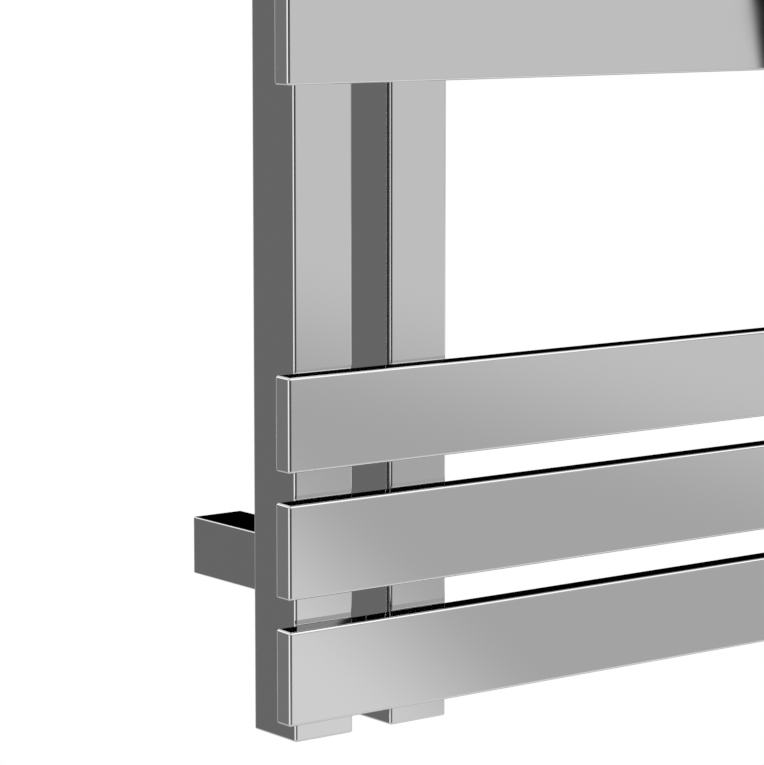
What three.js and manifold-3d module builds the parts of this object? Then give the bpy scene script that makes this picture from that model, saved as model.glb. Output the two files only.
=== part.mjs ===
// A water-heated towel warmer rack: flat chromed bars, in groups with room for towels between them, welded
// across two square collector tubes at their left end and free at the right.
//
// Frame, in millimetres: +X runs along the bars towards their free ends, +Y points into the wall and +Z is up.
// The origin lies on the wall's surface, midway between the collectors and midway between the upper and lower
// brackets.

import * as THREE from "three";
import { mergeVertices } from "three/addons/utils/BufferGeometryUtils.js";
import Module from "manifold-3d";

const wasm = await Module();
wasm.setup();

// ---------------------------------------------------------------- Driving dimensions

// Bars: flat tubes laid on edge, with the same gap between neighbours in a group.
const BAR_LENGTH = 500;
const BAR_HEIGHT = 40;
const BAR_DEPTH = 10;
const BAR_WALL = 1.2;
const BAR_GAP = 13.1;
const BARS_PER_GROUP = 3;
const GROUPS = 3;
const PLACES_LEFT_OUT = 2; // bar places left empty between two groups, where a folded towel goes
const BAR_OVERHANG = 10; // how far the bars reach past the left collector

// Collectors: the two upright tubes that feed the bars.
const COLLECTOR_SIDE = 30;
const COLLECTOR_WALL = 1.5;
const COLLECTOR_CENTRES = 50; // the usual spacing of a pair of radiator connections
const COLLECTOR_FOOT = 10; // how far the collectors reach below the lowest bar
const COLLECTOR_HEAD = 0; // how far they reach above the highest bar

// Plates that close the tubes, and the rounding of every outer edge.
const BAR_CAP = 2;
const COLLECTOR_PLATE = 2;
const EDGE_RADIUS = 1.2;
const END_ROUNDING = 0.8;
const INNER_CORNER = 0.4;

// Water ways.
const PORT_DIAMETER = 7; // holes that join a collector and a bar
const DIVIDER_THICKNESS = 1.2;
const DIVIDER_SIDE_CLEARANCE = 0.2;
const TURNING_LENGTH = 30; // open stretch past the divider, where the water turns back
const INLET_BUSH_CLEARANCE = 1; // between the bush and the collector's inner walls
const INLET_BUSH_WALL = 3.2; // leaves 18.6, a G1/2 thread's inner diameter
const INLET_BUSH_LENGTH = 16;

// Brackets: a square sleeve on each collector's back slides on an anchor screwed to the wall.
const STANDOFF = 50; // from the wall to the collectors' back
const SLEEVE_SIDE = 25;
const SLEEVE_WALL = 3;
const SLEEVE_FROM_END = 72; // from a collector's end to the nearer sleeve's middle
const WALL_GAP = 0.5; // between the sleeve's end and the wall
const ANCHOR_LENGTH = 24;
const ANCHOR_CLEARANCE = 0.3;
const ANCHOR_ROUNDING = 1;
const SLIDE_TRAVEL = 12; // how far the rack can be set off the wall, for tiles and uneven walls
const GRUB_DIAMETER = 5;
const GRUB_FROM_WALL = 6;
const GRUB_HEX = 2.5;
const GRUB_HEX_DEPTH = 2.2;
const GRUB_RECESS = 0.2; // how far the grub screw's end lies inside the sleeve's underside
const GROOVE_DEPTH = 1.8; // the anchor's groove, which the grub screw's tip runs in
const THREAD_CLEARANCE = 0.3;

// The hole in each anchor for the countersunk screw that holds it to the wall.
const SCREW_HOLE = 5.6;
const SCREW_HEAD_HOLE = 10.6;
const SCREW_HEAD_RECESS = 0.6; // how far the head's seat lies below the anchor's front

// Bleed valves, at the back of each collector near its top.
const BLEED_FROM_TOP = 20;
const BOSS_DIAMETER = 18;
const BOSS_STANDOUT = 4;
const BOSS_SPIGOT_DIAMETER = 13;
const BOSS_SPIGOT_BEYOND_WALL = 1;
const VALVE_THREAD_DIAMETER = 9.7;
const VALVE_SHANK_LENGTH = 5.5;
const VALVE_HEX = 13;
const VALVE_HEX_THICKNESS = 4.5;
const SEAL_THICKNESS = 1.2;
const SEAL_WIDTH = 1.4;
const BLEED_SCREW_DIAMETER = 4;
const BLEED_SCREW_SQUARE = 5;
const BLEED_SCREW_HEAD = 5;
const BLEED_SCREW_TIP = 1.5;

// Play between pieces that are welded, seated or screwed to each other.
const SEAT_GAP = 0.1;

// Fineness of round shapes.
const ROUND_SIDES = 24;
const SMALL_ROUND_SIDES = 12;
const CORNER_STEPS = 2;
const PAST_FACE = 1; // a cutting tool reaches this far past the face that it cuts

// ---------------------------------------------------------------- Sizes worked out from them

const barPitch = BAR_HEIGHT + BAR_GAP;
const placesPerGroup = BARS_PER_GROUP + PLACES_LEFT_OUT;
const highestPlace = (GROUPS - 1) * placesPerGroup + BARS_PER_GROUP - 1;
const collectorHeight = COLLECTOR_FOOT + highestPlace * barPitch + BAR_HEIGHT + COLLECTOR_HEAD;
const collectorBottom = -collectorHeight / 2;
const collectorTop = collectorHeight / 2;
const sleeveHeight = collectorHeight / 2 - SLEEVE_FROM_END;
const inletBushDiameter = COLLECTOR_SIDE - 2 * (COLLECTOR_WALL + INLET_BUSH_CLEARANCE);
const inletBore = inletBushDiameter - 2 * INLET_BUSH_WALL;
const collectorBack = -STANDOFF;
const collectorMiddle = collectorBack - COLLECTOR_SIDE / 2;
const collectorFront = collectorBack - COLLECTOR_SIDE;
const barBack = collectorFront - SEAT_GAP;
const barMiddle = barBack - BAR_DEPTH / 2;
const barLeft = -COLLECTOR_CENTRES / 2 - COLLECTOR_SIDE / 2 - BAR_OVERHANG;
const barRight = barLeft + BAR_LENGTH;
const channelOffset = (BAR_HEIGHT / 2 - BAR_WALL + DIVIDER_THICKNESS / 2) / 2; // a channel's middle
const anchorSide = SLEEVE_SIDE - 2 * SLEEVE_WALL - 2 * ANCHOR_CLEARANCE;
const countersinkDepth = (SCREW_HEAD_HOLE - SCREW_HOLE) / 2;
const boreOf = (diameter) => diameter + 2 * THREAD_CLEARANCE;

// ---------------------------------------------------------------- Materials

const metal = (name, color, roughness) =>
  new THREE.MeshStandardMaterial({ name, color, metalness: 1, roughness });
const chrome = metal("chrome", 0xc9cbcd, 0.06);
const plainSteel = metal("plain_steel", 0x9a9a98, 0.45);
const zincSteel = metal("zinc_steel", 0xaeb2b4, 0.35);
const nickelBrass = metal("nickel_brass", 0xb9b5a8, 0.22);
const sealRubber = new THREE.MeshStandardMaterial({ name: "seal_rubber", color: 0x1d1d1e, roughness: 0.7 });

// ---------------------------------------------------------------- Shapes

// The points of a rectangle with rounded corners about the origin, anticlockwise.
function roundedRectangle(width, height, radius, steps = CORNER_STEPS) {
  const points = [];
  const corners = [
    [1, 1],
    [-1, 1],
    [-1, -1],
    [1, -1],
  ];
  corners.forEach(([sx, sy], quarter) => {
    for (let step = 0; step <= steps; step++) {
      const angle = ((quarter + step / steps) * Math.PI) / 2;
      points.push(
        new THREE.Vector2(
          sx * (width / 2 - radius) + radius * Math.cos(angle),
          sy * (height / 2 - radius) + radius * Math.sin(angle),
        ),
      );
    }
  });
  return points;
}

// The hollow of a tube with this outer width, height and wall. Its corners are only just broken.
function hollowOf(width, height, wall) {
  return roundedRectangle(width - 2 * wall, height - 2 * wall, INNER_CORNER, 1);
}

// A tube or bar along +Z from z = 0, from the points of its outline and of its hollow.
function prism(outline, length, hollow) {
  const shape = new THREE.Shape(outline);
  if (hollow) shape.holes.push(new THREE.Path(hollow));
  return new THREE.ExtrudeGeometry(shape, { depth: length, bevelEnabled: false });
}

// A rounded plate on z = 0 whose far edge is rounded too. Each ring is the outline at one height.
function roundedPlate(width, height, thickness) {
  const rounding = Math.min(END_ROUNDING, thickness / 2);
  const insets = [{ inset: 0, at: 0 }];
  for (let step = 0; step <= CORNER_STEPS; step++) {
    const angle = ((step / CORNER_STEPS) * Math.PI) / 2;
    insets.push({
      inset: rounding * (1 - Math.cos(angle)),
      at: thickness - rounding + rounding * Math.sin(angle),
    });
  }
  const rings = insets.map(({ inset, at }) => {
    const outline = roundedRectangle(width - 2 * inset, height - 2 * inset, EDGE_RADIUS - inset);
    return outline.map((point) => new THREE.Vector3(point.x, point.y, at));
  });
  const count = rings[0].length;
  const index = [];
  for (let ring = 1; ring < rings.length; ring++) {
    for (let side = 0; side < count; side++) {
      const next = (side + 1) % count;
      const [a, b] = [(ring - 1) * count + side, (ring - 1) * count + next];
      const [c, d] = [ring * count + next, ring * count + side];
      index.push(a, b, c, a, c, d);
    }
  }
  const top = (rings.length - 1) * count;
  for (let corner = 1; corner < count - 1; corner++) {
    index.push(0, corner + 1, corner, top, top + corner, top + corner + 1);
  }
  return new THREE.BufferGeometry().setFromPoints(rings.flat()).setIndex(index);
}

// A closed ring or plug turned about the Z axis, from [radius, height] pairs.
function turned(profile, sides = ROUND_SIDES) {
  return new THREE.LatheGeometry(
    profile.map(([radius, height]) => new THREE.Vector2(radius, height)),
    sides,
  ).rotateX(Math.PI / 2);
}

function rod(diameter, length, sides = SMALL_ROUND_SIDES) {
  return new THREE.CylinderGeometry(diameter / 2, diameter / 2, length, sides)
    .rotateX(Math.PI / 2)
    .translate(0, 0, length / 2);
}

// A six-sided bar of a given width across its flats, from z = 0 up.
function hexagon(acrossFlats, length) {
  return rod(acrossFlats / Math.cos(Math.PI / 6), length, 6);
}

function block(width, depth, height) {
  return new THREE.BoxGeometry(width, depth, height);
}

// Turns a shape made along +Z so that it runs along +X, +Y, -Y or -Z. Only exact right angles are used.
const turns = {
  "+X": new THREE.Matrix4().set(0, 0, 1, 0, 1, 0, 0, 0, 0, 1, 0, 0, 0, 0, 0, 1),
  "-X": new THREE.Matrix4().set(0, 0, -1, 0, -1, 0, 0, 0, 0, 1, 0, 0, 0, 0, 0, 1),
  "+Y": new THREE.Matrix4().set(-1, 0, 0, 0, 0, 0, 1, 0, 0, 1, 0, 0, 0, 0, 0, 1),
  "-Y": new THREE.Matrix4().set(1, 0, 0, 0, 0, 0, -1, 0, 0, 1, 0, 0, 0, 0, 0, 1),
  "-Z": new THREE.Matrix4().set(1, 0, 0, 0, 0, -1, 0, 0, 0, 0, -1, 0, 0, 0, 0, 1),
};

function along(direction, geometry) {
  return geometry.applyMatrix4(turns[direction]);
}

// ---------------------------------------------------------------- Joining and cutting

function solidOf(geometry) {
  const bare = geometry.clone();
  bare.deleteAttribute("normal");
  bare.deleteAttribute("uv");
  const merged = mergeVertices(bare, 1e-4);
  return new wasm.Manifold(
    new wasm.Mesh({
      numProp: 3,
      vertProperties: merged.attributes.position.array,
      triVerts: new Uint32Array(merged.index.array),
    }),
  );
}

function geometryOf(solid) {
  const mesh = solid.getMesh();
  return new THREE.BufferGeometry()
    .setAttribute("position", new THREE.BufferAttribute(mesh.vertProperties, 3))
    .setIndex(new THREE.BufferAttribute(mesh.triVerts, 1));
}

function cut(base, ...tools) {
  return geometryOf(tools.reduce((left, tool) => left.subtract(solidOf(tool)), solidOf(base)));
}

function join(...pieces) {
  return geometryOf(pieces.map(solidOf).reduce((sum, piece) => sum.add(piece)));
}

// ---------------------------------------------------------------- Where the repeated pieces stand

const collectors = [
  { name: "return", side: "left", x: -COLLECTOR_CENTRES / 2, channel: -channelOffset },
  { name: "supply", side: "right", x: COLLECTOR_CENTRES / 2, channel: channelOffset },
];

const bars = [];
for (let group = 0; group < GROUPS; group++) {
  for (let bar = 0; bar < BARS_PER_GROUP; bar++) {
    const place = group * placesPerGroup + bar;
    const z = collectorBottom + COLLECTOR_FOOT + BAR_HEIGHT / 2 + place * barPitch;
    bars.push({ name: `bar_${bars.length + 1}`, z });
  }
}

const brackets = [
  { level: "lower", z: -sleeveHeight },
  { level: "upper", z: sleeveHeight },
].flatMap(({ level, z }) => collectors.map(({ side, x }) => ({ name: `${level}_${side}`, x, z })));

// ---------------------------------------------------------------- Bars

const portThroughWall = (wall) => along("+Y", rod(PORT_DIAMETER, wall + 2 * PAST_FACE));

// A bar's tube between its two caps. Its ports are in its back wall: the return port opens into the lower
// channel and the supply port into the upper one.
function barTube() {
  const tube = prism(
    roundedRectangle(BAR_DEPTH, BAR_HEIGHT, EDGE_RADIUS),
    BAR_LENGTH - 2 * (BAR_CAP + SEAT_GAP),
    hollowOf(BAR_DEPTH, BAR_HEIGHT, BAR_WALL),
  );
  const ports = collectors.map(({ x, channel }) =>
    portThroughWall(BAR_WALL).translate(
      x - barLeft - BAR_CAP - SEAT_GAP,
      BAR_DEPTH / 2 - BAR_WALL - PAST_FACE,
      channel,
    ),
  );
  return cut(along("+X", tube), ...ports);
}

// The cap of a bar's free end.
function barEndCap() {
  return along("+X", roundedPlate(BAR_DEPTH, BAR_HEIGHT, BAR_CAP));
}

// The cap of a bar's left end carries the divider strip, which parts the bar into two channels.
function barDividerCap() {
  const stripDepth = BAR_DEPTH - 2 * (BAR_WALL + DIVIDER_SIDE_CLEARANCE);
  const stripLength = BAR_LENGTH - 2 * BAR_CAP - TURNING_LENGTH;
  const strip = block(stripLength + BAR_CAP / 2, stripDepth, DIVIDER_THICKNESS);
  return join(
    along("-X", roundedPlate(BAR_DEPTH, BAR_HEIGHT, BAR_CAP)),
    strip.translate((stripLength - BAR_CAP / 2) / 2, 0, 0),
  );
}

// ---------------------------------------------------------------- Collectors

const bleedHeight = collectorTop - BLEED_FROM_TOP;

// A collector's tube between its end plates, with a port for each bar in front and the bleed boss's hole behind.
function collectorTube({ channel }) {
  const tube = prism(
    roundedRectangle(COLLECTOR_SIDE, COLLECTOR_SIDE, EDGE_RADIUS),
    collectorHeight - 2 * (COLLECTOR_PLATE + SEAT_GAP),
    hollowOf(COLLECTOR_SIDE, COLLECTOR_SIDE, COLLECTOR_WALL),
  ).translate(0, 0, collectorBottom + COLLECTOR_PLATE + SEAT_GAP);
  const ports = bars.map(({ z }) =>
    portThroughWall(COLLECTOR_WALL).translate(0, -COLLECTOR_SIDE / 2 - PAST_FACE, z + channel),
  );
  const bossHole = along(
    "+Y",
    rod(BOSS_SPIGOT_DIAMETER + 2 * SEAT_GAP, COLLECTOR_WALL + 2 * PAST_FACE, ROUND_SIDES),
  ).translate(0, COLLECTOR_SIDE / 2 - COLLECTOR_WALL - PAST_FACE, bleedHeight);
  return cut(tube, ...ports, bossHole);
}

function collectorTopPlate() {
  return roundedPlate(COLLECTOR_SIDE, COLLECTOR_SIDE, COLLECTOR_PLATE);
}

// The foot's plate has a round hole for the inlet bush.
function collectorBottomPlate() {
  const plate = along("-Z", roundedPlate(COLLECTOR_SIDE, COLLECTOR_SIDE, COLLECTOR_PLATE));
  const hole = rod(inletBushDiameter + 2 * SEAT_GAP, COLLECTOR_PLATE + 2 * PAST_FACE, ROUND_SIDES);
  return cut(plate, hole.translate(0, 0, -COLLECTOR_PLATE - PAST_FACE));
}

// The threaded bush that a valve or pipe screws into, with its mouth flush with the foot.
function inletBush() {
  const [outer, inner] = [inletBushDiameter / 2, inletBore / 2];
  return turned([
    [inner, 0],
    [outer, 0],
    [outer, INLET_BUSH_LENGTH],
    [inner, INLET_BUSH_LENGTH],
    [inner, 0],
  ]);
}

// ---------------------------------------------------------------- Brackets

// The sleeve is welded to a collector's back, and open towards the wall.
function sleeve() {
  const tube = prism(
    roundedRectangle(SLEEVE_SIDE, SLEEVE_SIDE, EDGE_RADIUS),
    STANDOFF - WALL_GAP - SEAT_GAP,
    hollowOf(SLEEVE_SIDE, SLEEVE_SIDE, SLEEVE_WALL),
  );
  const grubHole = rod(boreOf(GRUB_DIAMETER), SLEEVE_WALL + 2 * PAST_FACE);
  return cut(
    along("-Y", tube).translate(0, -WALL_GAP, 0),
    grubHole.translate(0, -GRUB_FROM_WALL, -SLEEVE_SIDE / 2 - PAST_FACE),
  );
}

// The anchor: a square block on the wall, with a countersunk hole and a groove below for the grub screw's tip.
function wallAnchor() {
  const body = along("-Y", prism(roundedRectangle(anchorSide, anchorSide, ANCHOR_ROUNDING), ANCHOR_LENGTH));
  const seat = ANCHOR_LENGTH - SCREW_HEAD_RECESS;
  const hole = turned([
    [0, -PAST_FACE],
    [SCREW_HOLE / 2, -PAST_FACE],
    [SCREW_HOLE / 2, seat - countersinkDepth],
    [SCREW_HEAD_HOLE / 2, seat],
    [SCREW_HEAD_HOLE / 2, ANCHOR_LENGTH + PAST_FACE],
    [0, ANCHOR_LENGTH + PAST_FACE],
  ]);
  const grooveWidth = boreOf(GRUB_DIAMETER);
  const groove = block(grooveWidth, SLIDE_TRAVEL + grooveWidth, 2 * GROOVE_DEPTH);
  return cut(
    body,
    along("-Y", hole),
    groove.translate(0, -GRUB_FROM_WALL - SLIDE_TRAVEL / 2, -anchorSide / 2),
  );
}

// A hexagon socket screw with a chamfered rim, standing on its tip at z = 0.
function grubScrew() {
  const radius = GRUB_DIAMETER / 2;
  const length = SLEEVE_WALL + ANCHOR_CLEARANCE + GROOVE_DEPTH - THREAD_CLEARANCE - GRUB_RECESS;
  const rim = radius / 5;
  const body = turned(
    [
      [0, 0],
      [radius - 2 * rim, 0],
      [radius, 2 * rim],
      [radius, length - rim],
      [radius - rim, length],
      [0, length],
    ],
    SMALL_ROUND_SIDES,
  );
  const socket = hexagon(GRUB_HEX, GRUB_HEX_DEPTH + PAST_FACE);
  return cut(body, socket.translate(0, 0, length - GRUB_HEX_DEPTH));
}

// ---------------------------------------------------------------- Bleed valves, made along +Y from the collector

const sealFace = BOSS_STANDOUT + SEAT_GAP;
const valveFace = sealFace + SEAL_THICKNESS + SEAT_GAP;
const bleedScrewFace = valveFace + VALVE_HEX_THICKNESS + SEAT_GAP;

// The threaded boss, with a spigot through the collector's back wall.
function bleedBoss() {
  const bore = boreOf(VALVE_THREAD_DIAMETER) / 2;
  const spigotEnd = -COLLECTOR_WALL - BOSS_SPIGOT_BEYOND_WALL;
  return turned([
    [bore, spigotEnd],
    [BOSS_SPIGOT_DIAMETER / 2, spigotEnd],
    [BOSS_SPIGOT_DIAMETER / 2, SEAT_GAP],
    [BOSS_DIAMETER / 2, SEAT_GAP],
    [BOSS_DIAMETER / 2, BOSS_STANDOUT],
    [bore, BOSS_STANDOUT],
    [bore, spigotEnd],
  ]);
}

function bleedSeal() {
  const inner = boreOf(VALVE_THREAD_DIAMETER) / 2;
  const outer = inner + SEAL_WIDTH;
  return turned([
    [inner, 0],
    [outer, 0],
    [outer, SEAL_THICKNESS],
    [inner, SEAL_THICKNESS],
    [inner, 0],
  ]);
}

// The valve body: a hexagon for the spanner, a threaded shank and a bore for the bleed screw.
function bleedValveBody() {
  const shankLength = VALVE_SHANK_LENGTH + SEAL_THICKNESS;
  const shank = rod(VALVE_THREAD_DIAMETER, shankLength + VALVE_HEX_THICKNESS / 2, ROUND_SIDES);
  const bore = rod(boreOf(BLEED_SCREW_DIAMETER), shankLength + VALVE_HEX_THICKNESS + 2 * PAST_FACE);
  return cut(
    join(hexagon(VALVE_HEX, VALVE_HEX_THICKNESS), shank.translate(0, 0, -shankLength)),
    bore.translate(0, 0, -shankLength - PAST_FACE),
  );
}

// The bleed screw: a square head for the key, and a cone that closes the valve.
function bleedScrew() {
  const reach = VALVE_HEX_THICKNESS + VALVE_SHANK_LENGTH + SEAL_THICKNESS;
  const shank = turned(
    [
      [0, -reach],
      [BLEED_SCREW_DIAMETER / 2, BLEED_SCREW_TIP - reach],
      [BLEED_SCREW_DIAMETER / 2, BLEED_SCREW_HEAD / 2],
      [0, BLEED_SCREW_HEAD / 2],
    ],
    SMALL_ROUND_SIDES,
  );
  const head = block(BLEED_SCREW_SQUARE, BLEED_SCREW_SQUARE, BLEED_SCREW_HEAD);
  return join(shank, head.translate(0, 0, BLEED_SCREW_HEAD / 2));
}

// ---------------------------------------------------------------- Assembly

const rack = new THREE.Group();

function add(name, geometry, material, x, y, z) {
  geometry.computeVertexNormals();
  const mesh = new THREE.Mesh(geometry, material.clone());
  mesh.name = name;
  mesh.position.set(x, y, z);
  rack.add(mesh);
}

bars.forEach(({ name, z }) => {
  add(name, barTube(), chrome, barLeft + BAR_CAP + SEAT_GAP, barMiddle, z);
  add(`${name}_divider_cap`, barDividerCap(), chrome, barLeft + BAR_CAP, barMiddle, z);
  add(`${name}_end_cap`, barEndCap(), chrome, barRight - BAR_CAP, barMiddle, z);
});

collectors.forEach((collector) => {
  const { name, x } = collector;
  add(`${name}_collector`, collectorTube(collector), chrome, x, collectorMiddle, 0);
  add(`${name}_top_plate`, collectorTopPlate(), chrome, x, collectorMiddle, collectorTop - COLLECTOR_PLATE);
  add(
    `${name}_bottom_plate`,
    collectorBottomPlate(),
    chrome,
    x,
    collectorMiddle,
    collectorBottom + COLLECTOR_PLATE,
  );
  add(`${name}_inlet_bush`, inletBush(), nickelBrass, x, collectorMiddle, collectorBottom);
  const bleedPieces = [
    ["bleed_boss", bleedBoss(), chrome, 0],
    ["bleed_seal", bleedSeal(), sealRubber, sealFace],
    ["bleed_valve", bleedValveBody(), nickelBrass, valveFace],
    ["bleed_screw", bleedScrew(), nickelBrass, bleedScrewFace],
  ];
  bleedPieces.forEach(([piece, geometry, material, standout]) =>
    add(`${name}_${piece}`, along("+Y", geometry), material, x, collectorBack + standout, bleedHeight),
  );
});

brackets.forEach(({ name, x, z }) => {
  add(`sleeve_${name}`, sleeve(), chrome, x, 0, z);
  add(`wall_anchor_${name}`, wallAnchor(), zincSteel, x, 0, z);
  add(
    `grub_screw_${name}`,
    along("-Z", grubScrew()),
    plainSteel,
    x,
    -GRUB_FROM_WALL,
    z - anchorSide / 2 + GROOVE_DEPTH - THREAD_CLEARANCE,
  );
});

export default rack;
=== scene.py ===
# %% [markdown]
# # A chromed towel warmer rack
# The real object is a small radiator: hot water climbs one square collector tube, runs out and back through
# nine flat bars, and leaves by the other. Everything on show is steel tube, ground smooth and chrome-plated.
# The construction is already made in CAD. This lesson loads it and gives each piece the soft edges, welds,
# threads and plating that the real one has. All sizes are metres, in the frame that the CAD uses.

# %% Load the frame
import math

import bmesh
import bpy
from mathutils import Matrix, Vector


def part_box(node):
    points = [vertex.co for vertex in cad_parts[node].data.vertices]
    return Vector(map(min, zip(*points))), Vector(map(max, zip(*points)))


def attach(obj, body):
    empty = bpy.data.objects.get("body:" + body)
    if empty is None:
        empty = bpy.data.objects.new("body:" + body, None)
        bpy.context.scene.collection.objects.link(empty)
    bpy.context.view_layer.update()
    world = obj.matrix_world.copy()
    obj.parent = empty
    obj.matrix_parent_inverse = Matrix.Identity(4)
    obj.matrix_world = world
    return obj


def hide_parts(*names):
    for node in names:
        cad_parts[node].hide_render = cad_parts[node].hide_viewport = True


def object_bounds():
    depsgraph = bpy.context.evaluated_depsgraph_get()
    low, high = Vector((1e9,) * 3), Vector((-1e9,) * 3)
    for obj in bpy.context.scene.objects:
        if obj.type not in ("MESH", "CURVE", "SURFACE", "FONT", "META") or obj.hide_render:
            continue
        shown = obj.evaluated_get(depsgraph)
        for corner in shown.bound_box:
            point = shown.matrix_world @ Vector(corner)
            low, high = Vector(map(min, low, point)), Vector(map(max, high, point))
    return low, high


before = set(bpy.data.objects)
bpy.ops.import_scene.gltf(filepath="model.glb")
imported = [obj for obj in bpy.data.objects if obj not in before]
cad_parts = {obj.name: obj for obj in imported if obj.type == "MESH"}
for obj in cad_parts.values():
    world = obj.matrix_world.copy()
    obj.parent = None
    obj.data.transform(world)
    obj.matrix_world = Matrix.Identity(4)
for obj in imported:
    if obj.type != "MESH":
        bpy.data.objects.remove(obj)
cad_low, cad_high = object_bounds()
MM = 0.001
print("CAD box, mm:", [round(side / MM, 1) for side in cad_high - cad_low])

# %% [markdown]
# ## The camera
# The view is a close look at the rack's lower left corner, from its left and a little above. A long lens
# keeps the bars nearly parallel. The camera is set by its place, its turn and its tilt, so that each number
# can be read on its own. A small drop of the lens keeps the upright tubes nearly upright in the view.

# %% Aim the camera
LENS = 150.06
SENSOR = 36.0
CAMERA_PLACE = Vector((-0.8015, -1.1421, -0.0118))
CAMERA_TURN = math.radians(37.226)
CAMERA_TILT = math.radians(6.72)
LENS_DROP = -0.08


def new_object(name, data):
    """An object with this data, put in the scene."""
    made = bpy.data.objects.new(name, data)
    bpy.context.scene.collection.objects.link(made)
    return made


camera_data = bpy.data.cameras.new("camera")
camera_data.lens = LENS
camera_data.sensor_width = SENSOR
camera_data.shift_y = LENS_DROP
camera = new_object("camera", camera_data)
camera.location = CAMERA_PLACE
camera.rotation_euler = (math.pi / 2 - CAMERA_TILT, 0, -CAMERA_TURN)
bpy.context.scene.camera = camera
bpy.context.scene.view_settings.view_transform = "Standard"
print("camera to rack, m:", round((CAMERA_PLACE - (cad_low + cad_high) / 2).length, 3))

# %% [markdown]
# ## Building node trees
# Materials, the world and the Geometry Nodes trees are all graphs of nodes. One helper adds a node, sets
# what it is told, and fills each input with a plain value or another node's output. The others write sums.

# %% Node helpers
def put(tree, kind, inputs=None, **settings):
    """Adds a node, and fills its inputs with values or with other nodes' outputs."""
    node = tree.nodes.new(kind)
    for key, value in settings.items():
        setattr(node, key, value)
    for key, value in (inputs or {}).items():
        if isinstance(value, bpy.types.NodeSocket):
            tree.links.new(value, node.inputs[key])
        else:
            node.inputs[key].default_value = value
    return node


def result(tree, kind, inputs=None, **settings):
    """Adds a node and gives its first output."""
    return put(tree, kind, inputs, **settings).outputs[0]


def sum_of(tree, operation, *values):
    """One step of arithmetic on numbers or number outputs."""
    return result(tree, "ShaderNodeMath", dict(enumerate(values)), operation=operation)


def vector_sum(tree, operation, *values, **named):
    """One step of arithmetic on vectors."""
    return result(tree, "ShaderNodeVectorMath", {**dict(enumerate(values)), **named}, operation=operation)


def length_of(tree, vector):
    """The length of a vector."""
    return put(tree, "ShaderNodeVectorMath", {0: vector}, operation="LENGTH").outputs["Value"]


def soft_step(tree, value, low, high):
    """0 below low and 1 above high, with a smooth rise between them. low may be above high."""
    limits = {"Value": value, "From Min": low, "From Max": high, "To Min": 0.0, "To Max": 1.0}
    return result(tree, "ShaderNodeMapRange", limits, interpolation_type="SMOOTHSTEP")


def blend_of(tree, share, first, second):
    """first where share is 0 and second where it is 1."""
    step = sum_of(tree, "SUBTRACT", second, first)
    return sum_of(tree, "MULTIPLY_ADD", step, share, first)


def shown(level):
    """The light level that a screen shows as this 0 to 255 grey, by the sRGB rule."""
    part = level / 255
    return part / 12.92 if part <= 0.04045 else ((part + 0.055) / 1.055) ** 2.4


print("mid grey 128 is light level", round(shown(128), 3))

# %% [markdown]
# ## What the chrome mirrors
# Chrome has no colour of its own: it shows the studio. The camera sees a plain white background, while the
# mirror sees a sky of pale greys with cards hung in it, and the cards' edges give the metal its dark and
# light parts. Two angles say where a direction points: azimuth runs round the horizon from +X towards the
# wall, and elevation is the angle above it, both in degrees.

# %% The angles of the sky
world = bpy.data.worlds.new("studio")
world.use_nodes = True
bpy.context.scene.world = world
sky = world.node_tree
sky.nodes.clear()
ray = put(sky, "ShaderNodeSeparateXYZ", {0: put(sky, "ShaderNodeTexCoord").outputs["Generated"]}).outputs
turn = sum_of(sky, "FRACT", sum_of(sky, "DIVIDE", sum_of(sky, "ARCTAN2", ray[1], ray[0]), math.tau))
sky_azimuth = sum_of(sky, "MULTIPLY", turn, 360.0)
sky_elevation = sum_of(sky, "DEGREES", sum_of(sky, "ARCSINE", ray[2]))
print("nodes that give the two angles:", len(sky.nodes))

# %% [markdown]
# A card is a patch of the sky between two azimuths and two elevations, with soft edges. Its grey, from 0 to
# 255, is what it gives to chrome. Chrome keeps a part of the light, so the card itself is brighter.

# %% A card in the sky
CHROME_LIGHT = 0.66  # the share of the light that chrome gives back


def card(behind, azimuths, elevations, grey, soft):
    """Hangs a card in front of what is already there. Its edges are soft degrees wide."""
    (left, right), (bottom, top) = azimuths, elevations
    middle = (left + right) / 2
    round_to = sum_of(sky, "MULTIPLY_ADD", sky_azimuth, 1 / 360, 0.5 - middle / 360)
    aside = sum_of(sky, "SUBTRACT", sum_of(sky, "FRACT", round_to), 0.5)
    aside = sum_of(sky, "MULTIPLY", sum_of(sky, "ABSOLUTE", aside), 360.0)
    across = soft_step(sky, aside, (right - left + soft) / 2, (right - left - soft) / 2)
    off = sum_of(sky, "SUBTRACT", sky_elevation, (bottom + top) / 2)
    off = sum_of(sky, "ABSOLUTE", off)
    up = soft_step(sky, off, (top - bottom + soft) / 2, (top - bottom - soft) / 2)
    level = grey if isinstance(grey, bpy.types.NodeSocket) else shown(grey) / CHROME_LIGHT
    return blend_of(sky, sum_of(sky, "MULTIPLY", across, up), behind, level)


def hang(behind, cards):
    """Hangs several cards, each in front of the one before it."""
    for azimuths, elevations, grey, soft in cards.values():
        behind = card(behind, azimuths, elevations, grey, soft)
    return behind


print("a card that chrome shows white has light level", round(1 / CHROME_LIGHT, 2))

# %% [markdown]
# Behind the cards the sky changes only with height: white near the horizon, greyer where a room's floor and
# ceiling come, so that no face looks the same from top to bottom.

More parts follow.
